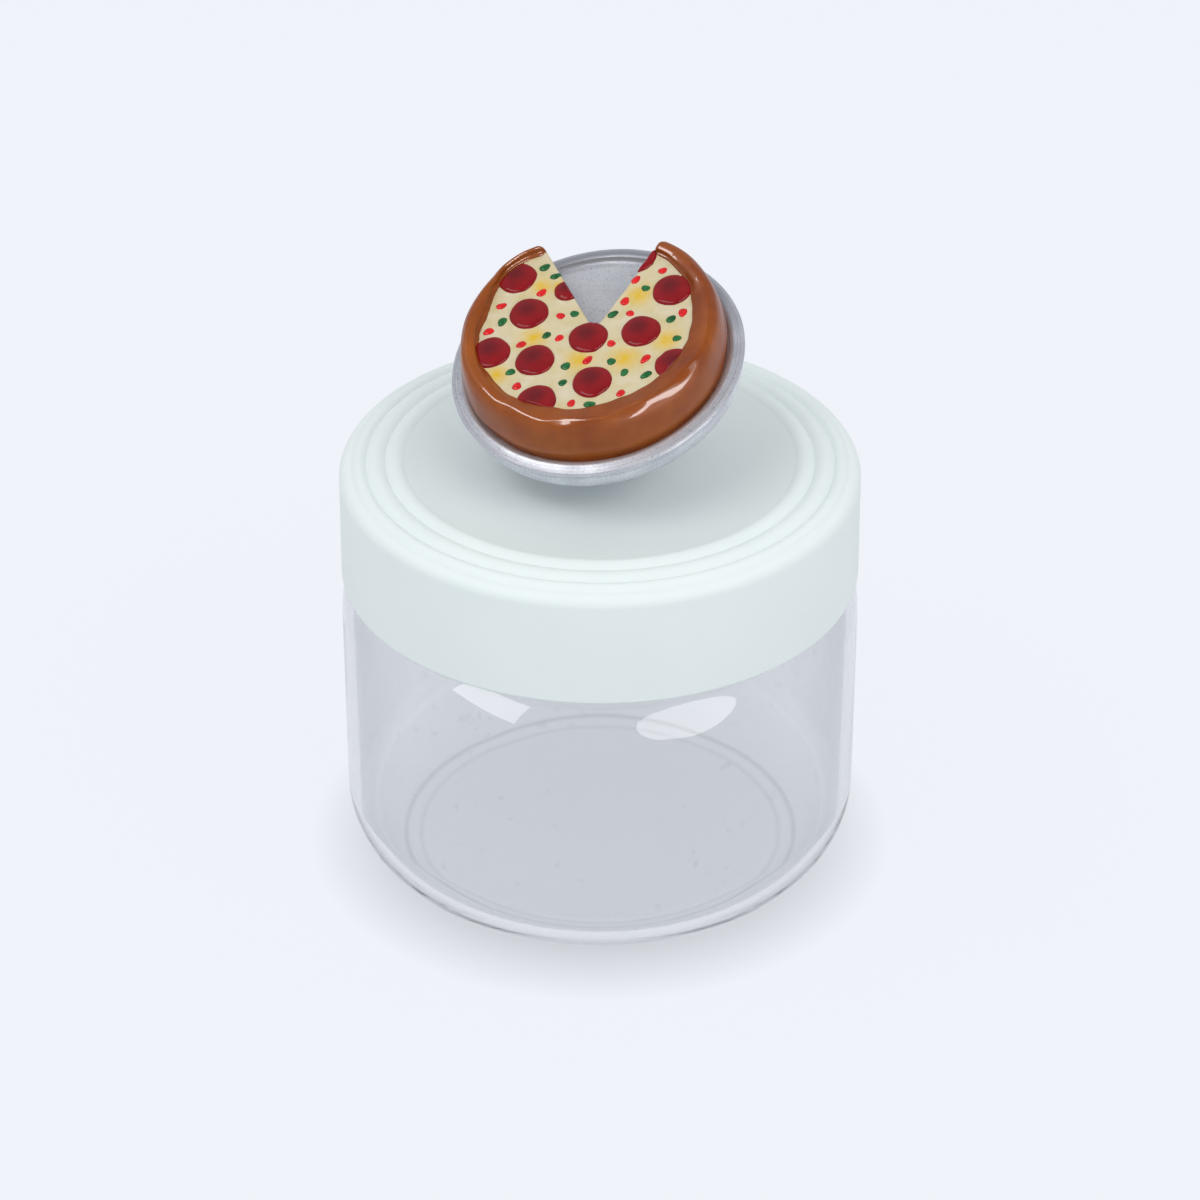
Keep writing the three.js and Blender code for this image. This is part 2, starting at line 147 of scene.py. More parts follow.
def newPiece(name, points, faces, sharpAngle=45):
    mesh = bpy.data.meshes.new(name)
    mesh.from_pydata(points, [], faces)
    shell = bmesh.new()
    shell.from_mesh(mesh)
    bmesh.ops.remove_doubles(shell, verts=shell.verts, dist=1e-7)
    bmesh.ops.dissolve_degenerate(shell, edges=shell.edges, dist=1e-7)
    bmesh.ops.recalc_face_normals(shell, faces=shell.faces)
    shell.to_mesh(mesh)
    shell.free()
    mesh.shade_smooth()
    mesh.set_sharp_from_angle(angle=radians(sharpAngle))
    piece = bpy.data.objects.new(name, mesh)
    scene.collection.objects.link(piece)
    return piece


def revolved(name, outline, sides, sharpAngle=45):
    points = []
    rows = []
    for radius, level in outline:
        if radius == 0:
            rows.append([len(points)] * sides)
            points.append((0, 0, level))
            continue
        rows.append(list(range(len(points), len(points) + sides)))
        for side in range(sides):
            angle = tau * side / sides
            points.append((radius * cos(angle), radius * sin(angle), level))
    faces = []
    for low, high in zip(rows, rows[1:]):
        for side in range(sides):
            after = (side + 1) % sides
            faces.append(list(dict.fromkeys((low[side], low[after], high[after], high[side]))))
    return newPiece(name, points, faces, sharpAngle)


def paint(piece, name, rule):
    layer = piece.data.attributes.new(name, "FLOAT", "POINT")
    layer.data.foreach_set("value", [rule(vertex.co) for vertex in piece.data.vertices])


def fitPiece(piece, finish, body, slotName, *nodes):
    piece.data.materials.append(finish)
    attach(piece, body)
    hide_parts(*nodes)


def waveSum(angle, waves):
    return sum(height * sin(count * angle + phase) for count, height, phase in waves)


def bumpSum(angle, bumps):
    total = 0
    for middle, height, width in bumps:
        away = (degrees(angle) - middle + 180) % 360 - 180
        total += height * exp(-(away / width) ** 2)
    return total


# a line that bends smoothly through its points
def smoothLine(points, steps):
    spots = [Vector(point) for point in points]
    ends = spots[:1] + spots + spots[-1:]
    line = spots[:1]
    for before, start, end, after in zip(ends, ends[1:], ends[2:], ends[3:]):
        pull = (end - before) / 2
        push = (after - start) / 2
        rise = end - start
        for step in range(1, steps + 1):
            share = step / steps
            bend = (3 * rise - 2 * pull - push) * share ** 2 + (pull + push - 2 * rise) * share ** 3
            line.append(start + pull * share + bend)
    return line


# waves round an uneven edge, shifted from copy to copy
def unevenEdge(angle, waves, index):
    return 1 + waveSum(angle, [(count, height, shift * index) for count, height, shift in waves])


def smoothStep(value, low, high):
    share = min(1, max(0, (value - low) / (high - low)))
    return share * share * (3 - 2 * share)


def headingOf(angle):
    return Vector((cos(angle), sin(angle)))


# distance from a point inside a circle to its edge, along a heading
def circleReach(origin, heading, middle, radius):
    offset = origin - middle
    along = offset.dot(heading)
    return sqrt(max(0, radius ** 2 - offset.length_squared + along ** 2)) - along


# faces of a low dome: a top point, rings of points and a foot on each side
def domeFaces(top, sides, rings):
    row = rings + 1
    faces = [tuple(top + 1 + side * row + rings for side in range(sides))]
    for side in range(sides):
        here = top + 1 + side * row
        there = top + 1 + ((side + 1) % sides) * row
        faces.append((top, here, there))
        for ring in range(rings):
            faces.append((here + ring, here + ring + 1, there + ring + 1, there + ring))
    return faces


# camera, floor and light
studio = {
    "lens": 166.68,
    "sensor": 36,
    "aim": Vector((0, 0, 54.37 * mm)),
    "distance": 1080.8 * mm,
    "elevation": 31.96,
    "backdrop": tone(241, 244, 251),
    "walls": tone(178, 181, 188),
    "frontCeiling": tone(56, 57, 60),  # what polished faces see overhead
    "backCeiling": tone(168, 171, 178),
    "fill": 0.8,  # even light from the room
    "floorSize": 8,
    "floorLevel": -0.05 * mm,
    "floorTone": tone(216, 218, 224),
    "floorGlow": 0.93,  # share of the floor's brightness that no cast shadow takes
    "contactReach": 12.5 * mm,  # how far the soft shadow round the foot spreads
    "contactDepth": 0.68,  # brightness in its darkest part
    "glassDepth": 0.96,  # the same, seen through the glass
    "contactSamples": 24,
    "wallTop": (0.15, 0.65),  # rise of a direction, from the walls to the ceiling
    "ceilingTurn": 0.3,  # half the soft change from the front ceiling to the back one
    "bounces": 64,  # light caught in the glass wall comes out again
}
softbox = {"away": 2.4, "shape": "RECTANGLE", "wide": 1.8, "tall": 0.8, "power": 14}
softboxes = {"leftBox": (-58, 55), "rightBox": (42, 44)}  # turn and rise of each
glassCards = {  # cards that only the glass mirrors
    "leftCard": {
        "at": (-21 * mm, -45 * mm, 59 * mm),
        "turn": -46, "rise": -6, "roll": -25, "away": 0.12,
        "shape": "RECTANGLE", "wide": 0.078, "tall": 0.05, "power": 0.06,
    },
    "rightCard": {
        "at": (17 * mm, -45 * mm, 58 * mm),
        "turn": 36, "rise": -18, "roll": 8, "away": 0.1,
        "shape": "ELLIPSE", "wide": 0.096, "tall": 0.06, "power": 0.066,
    },
}
crustCards = {  # cards that only the crust's enamel mirrors
    "streakCard": {
        "at": (-9 * mm, -24.5 * mm, 109.3 * mm),
        "turn": -74, "rise": 49, "roll": 0, "away": 0.5,
        "shape": "RECTANGLE", "wide": 0.4, "tall": 0.24, "power": 6.4,
    },
    "barCard": {
        "at": (12 * mm, -23 * mm, 113.5 * mm),
        "turn": 43, "rise": 15, "roll": 0, "away": 0.5,
        "shape": "RECTANGLE", "wide": 0.46, "tall": 0.32, "power": 10,
    },
}


# a step away from a place: turn to the right of the front, rise above level
def around(turn, rise, away):
    flat = away * cos(radians(rise))
    side = radians(turn)
    return Vector((flat * sin(side), -flat * cos(side), away * sin(radians(rise))))


def pointAt(thing, place):
    thing.location = place
    thing.rotation_euler = (studio["aim"] - place).to_track_quat("-Z", "Y").to_euler()
    scene.collection.objects.link(thing)


# 1 for what the eye sees, also in mirrors and through glass
def seenDirectly(tree):
    path = addNode(tree, "LightPath").outputs
    shown = mathOf(tree, "MAXIMUM", path["Is Camera Ray"], path["Is Glossy Ray"])
    return mathOf(tree, "MAXIMUM", shown, path["Is Transmission Ray"])


def makeCamera():
    camera = bpy.data.objects.new("camera", bpy.data.cameras.new("camera"))
    camera.data.lens = studio["lens"]
    camera.data.sensor_width = studio["sensor"]
    pointAt(camera, studio["aim"] + around(0, studio["elevation"], studio["distance"]))
    scene.camera = camera
    for limit in ("max_bounces", "glossy_bounces", "transmission_bounces"):
        setattr(scene.cycles, limit, studio["bounces"])


def makeFloor():
    reach = studio["floorSize"] / 2
    level = studio["floorLevel"]
    ends = ((-reach, -reach), (reach, -reach), (reach, reach), (-reach, reach))
    corners = [(x, y, level) for x, y in ends]
    floor = newPiece("floor", corners, [(0, 1, 2, 3)])
    finish = bpy.data.materials.new("paleFloor")
    finish.use_nodes = True
    tree = finish.node_tree
    tree.nodes.clear()
    lit = addNode(tree, "BsdfDiffuse", {"Color": studio["floorTone"]}).outputs[0]
    shelter = addNode(tree, "AmbientOcclusion", {"Distance": studio["contactReach"]})
    shelter.samples = studio["contactSamples"]
    direct = addNode(tree, "LightPath").outputs["Is Camera Ray"]
    darkest = rangeOf(tree, direct, 0, 1, studio["glassDepth"], studio["contactDepth"])
    strength = rangeOf(tree, shelter.outputs["AO"], 0, 1, darkest, 1)
    glow = addNode(tree, "Emission", {"Color": studio["backdrop"], "Strength": strength}).outputs[0]
    shown = addNode(tree, "MixShader", {0: studio["floorGlow"], 1: lit, 2: glow}).outputs[0]
    surface = addNode(tree, "MixShader", {0: seenDirectly(tree), 1: lit, 2: shown}).outputs[0]
    addNode(tree, "OutputMaterial", {"Surface": surface})
    floor.data.materials.append(finish)


def areaLamp(name, values):
    lamp = bpy.data.lights.new(name, "AREA")
    lamp.shape = values["shape"]
    lamp.size = values["wide"]
    lamp.size_y = values["tall"]
    lamp.energy = values["power"]
    return bpy.data.objects.new(name, lamp)


def addCards(cards, piece):
    mirrored = bpy.data.collections.new(piece.name + "Cards")
    mirrored.objects.link(piece)
    for name, card in cards.items():
        spot = Vector(card["at"])
        shine = areaLamp(name, card)
        shine.location = spot + around(card["turn"], card["rise"], card["away"])
        facing = (spot - shine.location).to_track_quat("-Z", "Y")
        roll = Quaternion((0, 0, 1), radians(card["roll"]))
        shine.rotation_euler = (facing @ roll).to_euler()
        shine.visible_diffuse = False
        shine.visible_transmission = False
        shine.light_linking.receiver_collection = mirrored
        scene.collection.objects.link(shine)


def makeLight():
    world = bpy.data.worlds.new("studio")
    world.use_nodes = True
    scene.world = world
    tree = world.node_tree
    tree.nodes.clear()
    heading = addNode(tree, "TexCoord").outputs["Generated"]
    parts = addNode(tree, "SeparateXYZ", {0: heading}).outputs
    behind = rangeOf(tree, parts["Y"], -studio["ceilingTurn"], studio["ceilingTurn"])
    ceiling = mixColours(tree, behind, studio["frontCeiling"], studio["backCeiling"])
    overhead = rangeOf(tree, parts["Z"], *studio["wallTop"])
    walls = mixColours(tree, overhead, studio["walls"], ceiling)
    room = addNode(tree, "Background", {"Color": (1, 1, 1, 1), "Strength": studio["fill"]}).outputs[0]
    shown = addNode(tree, "Background", {"Color": walls}).outputs[0]
    surface = addNode(tree, "MixShader", {0: seenDirectly(tree), 1: room, 2: shown}).outputs[0]
    addNode(tree, "OutputWorld", {"Surface": surface})
    for name, (turn, rise) in softboxes.items():
        pointAt(areaLamp(name, softbox), studio["aim"] + around(turn, rise, softbox["away"]))


makeCamera()
makeFloor()
makeLight()
print("camera, floor and light are set")


# blown glass jar
jar = {
    "sides": 320,
    "steps": 20,  # in each rounding
    "wall": 2.2 * mm,
    "floor": 2.6 * mm,
    "draft": 0.3 * mm,
    "corner": 15.2 * mm,
    "bowl": (13 * mm, 12.7 * mm),  # the floor's round rise to the wall, inside
    "shoulderSink": 0.85 * mm,  # how far the inner shoulder lies under the outer one
    "kick": 0.5 * mm,
    "foot": 4 * mm,
    "shoulder": (4.6 * mm, 12 * mm),
    "neck": 15.9 * mm,
    "rimBead": 1 * mm,
    "flare": 4.8 * mm,
    "clear": tone(238, 239, 240),
    "speck": tone(225, 228, 230),
    "speckScale": 420,
    "speckFrom": (0.8, 0.84),  # only the grain's peaks are specks
    "edge": tone(186, 189, 196),  # where the wall is seen along its length
    "edgeSlant": (0.45, 0.95),  # from 0, seen straight on, to 1, seen along it
    "waveScale": 26,
    "waveDepth": 0.4 * mm,
    "waveStrength": 0.12,
    # painted shade: dark rings on the underside stand in for the line that the foot's edge and its
    # shadow show through the floor
    "line": tone(150, 166, 156),  # rings round the foot, seen through the floor
    "lines": ((39.1 * mm, 0.5), (35.8 * mm, 0.25)),
    "lineWidth": 0.55 * mm,
    "shade": (0.9, 0.905, 0.915, 1),  # light let through to what stands behind
}


def jarFinish():
    settings = {"Roughness": 0.0, "IOR": 1.45, "Transmission Weight": 1.0}
    finish, tree, shader = newFinish("jarGlass", settings)
    speck = rangeOf(tree, grain(tree, jar["speckScale"], 0), *jar["speckFrom"])
    clear = mixColours(tree, speck, jar["clear"], jar["speck"])
    slant = addNode(tree, "LayerWeight", {"Blend": 0.5}).outputs["Facing"]
    clear = mixColours(tree, rangeOf(tree, slant, *jar["edgeSlant"]), clear, jar["edge"])
    # the painted shade rings darken the glass's colour
    setColour(tree, shader, mixColours(tree, painted(tree, "line"), clear, jar["line"]))
    waves = grain(tree, jar["waveScale"], 1, (1, 1, 0.6))
    addBump(tree, shader, waves, jar["waveStrength"], jar["waveDepth"])
    through = addNode(tree, "BsdfTransparent", {"Color": jar["shade"]}).outputs[0]
    shadow = addNode(tree, "LightPath").outputs["Is Shadow Ray"]
    surface = addNode(tree, "MixShader", {0: shadow, 1: shader.outputs[0], 2: through}).outputs[0]
    tree.links.new(surface, tree.nodes["Material Output"].inputs["Surface"])
    return finish


def makeJar():
    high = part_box("glass_jar")[1]
    radius = high.x
    height = high.z
    wall = jar["wall"]
    corner = jar["corner"]
    shoulderStep, shoulderHeight = jar["shoulder"]
    footRadius = radius - jar["draft"] - corner
    neckRadius = radius - shoulderStep
    neckInside = neckRadius - wall
    shoulderFoot = height - jar["neck"] - shoulderHeight
    rimMiddle = (neckInside + neckRadius + jar["rimBead"]) / 2
    rimHalf = rimMiddle - neckInside
    steps = jar["steps"]
    dome = footRadius - jar["foot"]
    outline = []
    for step in range(steps):
        share = step / steps
        outline.append((dome * share, jar["kick"] * (1 - share ** 2) ** 2))
    outline += arcPoints((footRadius, corner), corner, corner, -90, 0, 5 * steps)
    outline += arcPoints((neckRadius, shoulderFoot), shoulderStep, shoulderHeight, 0, 90, steps)
    outline += [(neckRadius, height - jar["flare"])]
    outline += arcPoints((rimMiddle, height - rimHalf), rimHalf, rimHalf, 0, 180, steps)
    innerShoulder = (neckInside, shoulderFoot - jar["shoulderSink"])
    outline += arcPoints(innerShoulder, shoulderStep, shoulderHeight, 90, 0, steps)
    bowlWidth, bowlHeight = jar["bowl"]
    inside = radius - jar["draft"] - wall
    innerMiddle = (inside - bowlWidth, jar["floor"] + bowlHeight)
    outline += arcPoints(innerMiddle, bowlWidth, bowlHeight, 0, -90, 3 * steps)
    outline.append((0, jar["floor"]))
    piece = revolved("glassJar", outline, jar["sides"])

    # painted shade rings round the foot, on the underside
    def line(spot):
        if spot.z > jar["floor"] - 0.5 * mm:  # only the underside carries the rings
            return 0.0
        reach = spot.xy.length
        total = 0
        for place, depth in jar["lines"]:
            total += depth * exp(-((reach - place) / jar["lineWidth"]) ** 2)
        return total

    paint(piece, "line", line)
    fitPiece(piece, jarFinish(), "jar", "jar_glass", "glass_jar")
    addCards(glassCards, piece)


makeJar()
print("glass jar is made")


# ringed lid with its plug and gasket
lid = {
    "sides": 192,
    "steps": 12,
    "top": 2.6 * mm,
    "skirtWall": 2.4 * mm,
    "skirtRound": 0.9 * mm,
    "skirtEdge": 1.1 * mm,  # thickness at the lower edge
    "skirtTaper": 3 * mm,
    "edgeRound": 2.3 * mm,
    "crown": 1 * mm,
    "beads": (2.8 * mm, 3.8 * mm, 3.8 * mm),
    "beadHeight": 0.7 * mm,
    "hole": 2.25 * mm,
    "mint": tone(225, 233, 233),
    "mintDeep": tone(219, 229, 229),
    "roughness": 0.44,
}
plastic = {  # skin of the moulded pieces
    "shine": 0.12,
    "cloudScale": 45,
    "skinScale": 1600,
    "uneven": 0.05,  # in roughness
    "skinDepth": 0.02 * mm,
}
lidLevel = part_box("knob_post")[0].z - seat


def plasticFinish(name, light, deep, roughness):
    finish, tree, shader = newFinish(name, {"IOR": 1.5, "Specular IOR Level": plastic["shine"]})
    setColour(tree, shader, mixColours(tree, grain(tree, plastic["cloudScale"], 2), light, deep))
    skin = grain(tree, plastic["skinScale"], 2)
    uneven = plastic["uneven"]
    dull = rangeOf(tree, skin, *grainSpread, roughness - uneven, roughness + uneven)
    tree.links.new(dull, shader.inputs["Roughness"])
    addBump(tree, shader, skin, 0.25, plastic["skinDepth"])
    return finish


def lidTopOutline(radius):
    outer = radius - lid["edgeRound"]
    inner = outer - sum(lid["beads"])
    steps = lid["steps"]
    points = []
    start = outer
    for width in lid["beads"]:
        for step in range(1, steps + 1):
            spot = start - width * step / steps
            base = lidLevel - lid["crown"] * ((spot - inner) / (outer - inner)) ** 2
            bulge = sin(pi * step / steps)
            points.append((spot, base + lid["beadHeight"] * bulge ** 0.85))
        start -= width
    return points


def makeLid():
    low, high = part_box("lid_shell")
    radius = high.x
    inside = radius - lid["skirtWall"]
    under = lidLevel - lid["top"]
    edge = lid["edgeRound"]
    foot = lid["skirtRound"]
    steps = lid["steps"]
    edgeMiddle = (radius - edge, lidLevel - lid["crown"] - edge)
    outline = [(lid["hole"], under), (inside - seat, under), (inside, under - seat)]
    outline += [(inside, low.z + lid["skirtTaper"]), (radius - lid["skirtEdge"], low.z)]
    outline += arcPoints((radius - foot, low.z + foot), foot, foot, -90, 0, steps)
    outline += arcPoints(edgeMiddle, edge, edge, 0, 90, steps)
    outline += lidTopOutline(radius)
    outline += [(lid["hole"], lidLevel), (lid["hole"], under)]
    piece = revolved("lidShell", outline, lid["sides"], 60)
    finish = plasticFinish("lidMint", lid["mint"], lid["mintDeep"], lid["roughness"])
    fitPiece(piece, finish, "lid", "lid_plastic", "lid_shell")


plug = {
    "flange": 2 * mm,
    "groove": 1.2 * mm,
    "grooveDrop": 3 * mm,
    "grooveLip": 2.2 * mm,
    "play": 1.7 * mm,  # from the wall to the inside of the neck
    "wall": 1.3 * mm,
    "wellRadius": 6.8 * mm,
    "wellWall": 1.6 * mm,
    "wellFloor": 1.6 * mm,
    "soft": 0.35 * mm,
    "white": tone(240, 243, 241),
    "whiteDeep": tone(234, 238, 236),
    "roughness": 0.42,
}


def makePlug():
    low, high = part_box("lid_plug")
    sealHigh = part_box("lid_gasket")[1]
    wallRadius = sealHigh.x + seat - plug["play"]
    grooveRadius = wallRadius - plug["groove"]
    flangeUnder = high.z - plug["flange"]
    grooveTop = flangeUnder - plug["grooveDrop"]
    grooveFoot = low.z + plug["grooveLip"]
    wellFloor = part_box("knob_screw")[0].z - seat
    wellFoot = wellFloor - plug["wellFloor"]
    wellOutside = plug["wellRadius"] + plug["wellWall"]
    inside = grooveRadius - plug["wall"]
    outline = [
        (0, wellFoot), (wellOutside, wellFoot), (wellOutside, flangeUnder),
        (inside, flangeUnder), (inside, low.z), (wallRadius, low.z), (wallRadius, grooveFoot),
        (grooveRadius, grooveFoot), (grooveRadius, grooveTop), (wallRadius, grooveTop),
        (wallRadius, flangeUnder), (high.x, flangeUnder), (high.x, high.z),
        (plug["wellRadius"], high.z), (plug["wellRadius"], wellFloor), (0, wellFloor),
    ]
    piece = revolved("lidPlug", softened(outline, plug["soft"]), lid["sides"], 60)
    finish = plasticFinish("plugWhite", plug["white"], plug["whiteDeep"], plug["roughness"])
    fitPiece(piece, finish, "lid", "plug_plastic", "lid_plug")


gasket = {
    "band": 1.2 * mm,
    "bandInside": 40.7 * mm,
    "fins": 3,
    "finRoot": 1.1 * mm,
    "finTip": 0.35 * mm,
    "soft": 0.25 * mm,
    "milky": tone(232, 236, 234),
    "milkyDeep": tone(222, 228, 226),
    "cloudScale": 90,
    "skinScale": 2200,
    "skinDepth": 0.02 * mm,
}


def makeGasket():
    low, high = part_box("lid_gasket")
    band = gasket["bandInside"] + gasket["band"]
    pitch = (high.z - low.z) / gasket["fins"]
    outline = [(gasket["bandInside"], low.z), (band, low.z)]
    for fin in range(gasket["fins"]):
        level = low.z + (fin + 0.5) * pitch
        root = gasket["finRoot"] / 2
        tip = gasket["finTip"] / 2
        outline += [(band, level - root), (high.x, level - tip)]
        outline += [(high.x, level + tip), (band, level + root)]
    outline += [(band, high.z), (gasket["bandInside"], high.z)]
    outline = softened(outline, gasket["soft"])
    piece = revolved("lidGasket", outline + outline[:1], lid["sides"], 60)
    settings = {"Roughness": 0.55, "IOR": 1.42, "Subsurface Weight": 0.15}
    settings.update({"Subsurface Radius": (1, 1, 1), "Subsurface Scale": 1 * mm})
    finish, tree, shader = newFinish("gasketSilicone", settings)
    cloud = grain(tree, gasket["cloudScale"], 3)
    setColour(tree, shader, mixColours(tree, cloud, gasket["milky"], gasket["milkyDeep"]))
    addBump(tree, shader, grain(tree, gasket["skinScale"], 2), 0.2, gasket["skinDepth"])
    fitPiece(piece, finish, "seal", "gasket_silicone", "lid_gasket")


makeLid()
makePlug()
makeGasket()
print("lid, plug and gasket are made")


# screw, washer and insert keep their solids and get turned-metal finishes
metals = {
    "turnedSteel": {
        "light": tone(196, 198, 202),
        "deep": tone(160, 163, 168),
        "nodes": ("knob_screw", "knob_washer"),
    },
    "turnedBrass": {
        "light": tone(214, 178, 98),
        "deep": tone(178, 138, 66),
        "nodes": ("knob_insert",),
    },
}
toolMarks = {"scale": 900, "stretch": (0.15, 0.15, 6), "roughness": (0.22, 0.4), "depth": 0.02 * mm}


def makeMetals():
    for name, metal in metals.items():
        finish, tree, shader = newFinish(name, {"Metallic": 1.0})
        turning = grain(tree, toolMarks["scale"], 3, toolMarks["stretch"])
        setColour(tree, shader, mixColours(tree, turning, metal["light"], metal["deep"]))
        dull = rangeOf(tree, turning, 0.2, 0.8, *toolMarks["roughness"])
        tree.links.new(dull, shader.inputs["Roughness"])
        addBump(tree, shader, turning, 0.3, toolMarks["depth"])
        for node in metal["nodes"]:
            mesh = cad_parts[node].data
            mesh.materials.clear()
            mesh.materials.append(finish)


makeMetals()
print("fastening is finished")


# the pan leans to the front and left; it and the pizza are drawn level in its own frame
lean = {"tilt": 21.9, "facing": 30.7}
facing = radians(lean["facing"])
leanAxis = Vector((cos(facing), -sin(facing), 0))
leanTurn = Matrix.Rotation(radians(lean["tilt"]), 4, leanAxis)


# box of a node as seen in a turned frame
def levelBox(node, turn):
    level = turn.inverted()
    spots = [level @ vertex.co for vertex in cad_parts[node].data.vertices]
    return [Vector([pick(spot[axis] for spot in spots) for axis in range(3)]) for pick in (min, max)]


panLow, panHigh = levelBox("pizza_pan", leanTurn)
panFoot = Vector(((panLow.x + panHigh.x) / 2, (panLow.y + panHigh.y) / 2, panLow.z))
panFrame = leanTurn @ Matrix.Translation(panFoot)
panRadius = (panHigh.x - panLow.x) / 2
panDepth = panHigh.z - panLow.z


def placeOnPan(piece, finish, slotName, *nodes):
    piece.data.transform(panFrame)
    fitPiece(piece, finish, "lid", slotName, *nodes)


# painted silver post and pan
post = {
    "sides": 96,
    "steps": 16,
    "foot": 5.6 * mm,
    "footEdge": 0.8 * mm,
    "waist": 4.4 * mm,
    "waistHeight": 6.4 * mm,
    "head": 8.4 * mm,
}
silver = {
    "light": tone(230, 232, 238),
    "mid": tone(212, 214, 222),
    "deep": tone(150, 152, 162),
    "streakScale": 2600,
    "streakDepth": 0.6,
    "flakeScale": 5200,
    "flakeDepth": 0.5,
    "cloudScale": 220,
    "pitScale": 2100,
    "pitFrom": (0.28, 0.36),  # only the grain's hollows are pits
    "pitDepth": 0.6,
    "roughness": (0.3, 0.46),
    "brushedFrom": (23.5 * mm, 25 * mm),  # the brushed rim, outwards
    "floorBrush": 0.12,  # share of the brushing that the floor has
    "backShadeAt": 26 * mm,  # painted shade along the back of the rim, darkening its reflection
    "backShadeWidth": (0.8 * mm, 2.4 * mm),
    "backShadeDepth": 0.85,
    "backShadeFrom": 12 * mm,  # behind the middle
    "relief": 0.05 * mm,
}


def silverFinish():
    finish, tree, shader = newFinish("silverPaint", {"Metallic": 0.6, "IOR": 1.5})
    radius = painted(tree, "reach")
    drift = times(tree, grain(tree, 60, 2), 0.0016)
    rings = addNode(tree, "CombineXYZ", {0: radius, 1: painted(tree, "level"), 2: drift})
    brush = {"Vector": rings.outputs[0], "Scale": silver["streakScale"], "Detail": 3}
    streak = addNode(tree, "TexNoise", brush).outputs["Fac"]
    flake = grain(tree, silver["flakeScale"], 2)
    cloud = grain(tree, silver["cloudScale"], 4)
    hollows = grain(tree, silver["pitScale"], 1)
    pits = rangeOf(tree, hollows, *silver["pitFrom"], silver["pitDepth"], 0)
    flecks = rangeOf(tree, flake, *grainPeaks, 0, silver["flakeDepth"])
    onRim = rangeOf(tree, radius, *silver["brushedFrom"], silver["floorBrush"], 1)
    brushed = times(tree, rangeOf(tree, streak, *grainPeaks, 0, silver["streakDepth"]), onRim)
    # painted shade along the back of the rim's crown, over its reflection
    beside = mathOf(tree, "ABSOLUTE", mathOf(tree, "SUBTRACT", radius, silver["backShadeAt"]))
    atBack = rangeOf(tree, painted(tree, "depth"), 0, silver["backShadeFrom"])
    onLine = rangeOf(tree, beside, *silver["backShadeWidth"], silver["backShadeDepth"], 0)
    backShade = times(tree, onLine, atBack)
    colour = mixColours(tree, rangeOf(tree, cloud, *grainSpread), silver["light"], silver["mid"])
    for marks in (flecks, brushed, backShade, pits):
        colour = mixColours(tree, marks, colour, silver["deep"])
    setColour(tree, shader, colour)
    dull = rangeOf(tree, cloud, 0.25, 0.75, *silver["roughness"])
    tree.links.new(dull, shader.inputs["Roughness"])
    lines = times(tree, streak, 0.6)
    relief = mathOf(tree, "ADD", lines, times(tree, flake, 0.7))
    addBump(tree, shader, relief, 0.35, silver["relief"])
    return finish


silverPaint = silverFinish()


# the silver finish follows the piece's own rings, drawn level
def paintPlace(piece):
    paint(piece, "reach", lambda spot: spot.xy.length)
    paint(piece, "level", lambda spot: spot.z)
    paint(piece, "depth", lambda spot: spot.y)


def makePost():
    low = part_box("knob_post")[0].z
    steps = post["steps"]
    edge = post["footEdge"]
    waistLevel = lidLevel + post["waistHeight"]
    normal = leanTurn @ Vector((0, 0, 1))
    top = panFrame @ Vector((0, 0, -seat))
    underside = top.dot(normal) / normal.z
    foot = post["foot"]
    waist = post["waist"]
    head = post["head"]
    headReach = head * tan(radians(lean["tilt"]))
    headHeight = underside - headReach - waistLevel
    headTop = underside + headReach
    span = waistLevel - low - 2 * edge
    outline = [(0, low), (foot - edge, low)]
    outline += arcPoints((foot - edge, low + edge), edge, edge, -90, 60, steps // 2)
    outline += arcPoints((foot, waistLevel), foot - waist, span, 250, 180, steps)
    outline += arcPoints((head, waistLevel), head - waist, headHeight, 175, 90, steps)
    outline += [(head, underside), (head, headTop), (0, headTop)]
    piece = revolved("knobPost", outline, post["sides"], 50)
    for vertex in piece.data.vertices:  # cuts the head to the pan's slant
        over = (vertex.co - top).dot(normal) / normal.z
        if over > 0:
            vertex.co.z -= over
    paintPlace(piece)
    fitPiece(piece, silverPaint, "lid", "silver_paint", "knob_post")


pan = {
    "sides": 192,
    "rimWidth": 3 * mm,
    "rimRoll": 0.9 * mm,
    "floorDrop": 1.2 * mm,
    "sideInset": 0.5 * mm,
    "sideCurve": 2.2 * mm,
    "rimFall": 0.75 * mm,  # from the rim's crown to its outer edge
    "crownShare": 0.3,  # place of the crown across the rim, from the inside
    "rimUnder": 0.75 * mm,  # from the widest level down to the side
    "steps": 5,  # between two points of the rim's line
    "curveSteps": 16,
}


